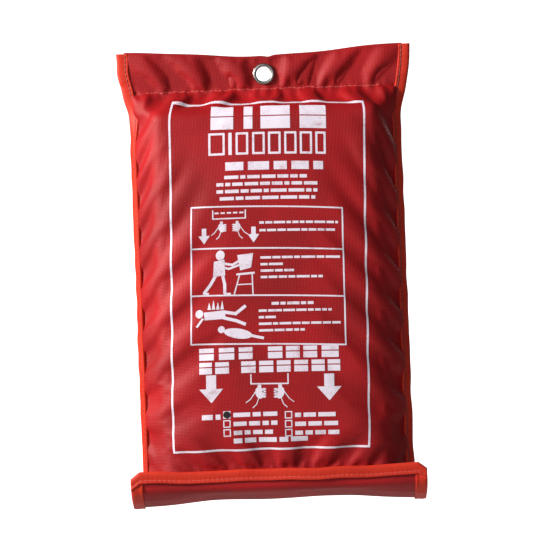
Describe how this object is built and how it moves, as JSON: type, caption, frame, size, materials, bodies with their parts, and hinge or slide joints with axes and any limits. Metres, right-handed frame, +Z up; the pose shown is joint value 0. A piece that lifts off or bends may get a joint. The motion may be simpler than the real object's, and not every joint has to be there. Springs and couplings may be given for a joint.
{
  "type": "fire blanket",
  "caption": "Soft wall pouch with an eyelet header and a two-fold closing flap, holding a folded glass-cloth blanket with looped pull tapes.",
  "frame": {"origin": "centre of the hanging eyelet, on the wall plane", "axes": "+Z up, +Y into the wall, so the printed front faces -Y; X along the width"},
  "size_m": [0.186, 0.0279, 0.2859],
  "materials": {
    "red_cloth": "coated oxford cloth, low sheen",
    "edge_tape": "plain woven edge tape, matte",
    "closure_strip": "hook-and-loop strip, matte",
    "sewing_thread": "polyester thread, slight sheen",
    "plated_steel": "nickel plated, satin from handling",
    "glass_cloth": "woven glass cloth, slight sheen",
    "black_webbing": "ribbed webbing, matte"
  },
  "bodies": {
    "pouch": {"front_panel": "red_cloth", "back_panel": "red_cloth", "left_edge_tape": "edge_tape", "right_edge_tape": "edge_tape", "header_seam_thread": "sewing_thread", "left_seam_thread": "sewing_thread", "right_seam_thread": "sewing_thread", "eyelet": "plated_steel", "eyelet_washer": "plated_steel", "loop_strip": "closure_strip"},
    "flap_base": {"flap_base_panel": "red_cloth", "flap_base_left_tape": "edge_tape", "flap_base_right_tape": "edge_tape"},
    "flap_lip": {"flap_lip_panel": "red_cloth", "flap_lip_edge_tape": "edge_tape", "flap_lip_left_tape": "edge_tape", "flap_lip_right_tape": "edge_tape", "hook_strip": "closure_strip", "flap_edge_thread": "sewing_thread"},
    "blanket": {"folded_blanket": "glass_cloth", "left_pull_tape": "black_webbing", "right_pull_tape": "black_webbing"}
  },
  "joints": [
    {"name": "blanket_slide", "type": "slide", "parent": "pouch", "child": "blanket", "axis": [0, 0, -1], "range_m": [0, 0.035]},
    {"name": "flap_base_hinge", "type": "hinge", "parent": "pouch", "child": "flap_base", "pos_m": [0, -0.0017, -0.269], "axis": [1, 0, 0], "range_deg": [0, 109]},
    {"name": "flap_lip_hinge", "type": "hinge", "parent": "flap_base", "child": "flap_lip", "pos_m": [0, -0.0257, -0.26074], "axis": [1, 0, 0], "range_deg": [0, 71]}
  ],
  "couplings": [
    {"joint": "flap_base_hinge", "follows": "blanket_slide", "rad_per_m": 54.354},
    {"joint": "flap_lip_hinge", "follows": "blanket_slide", "rad_per_m": 35.404}
  ]
}
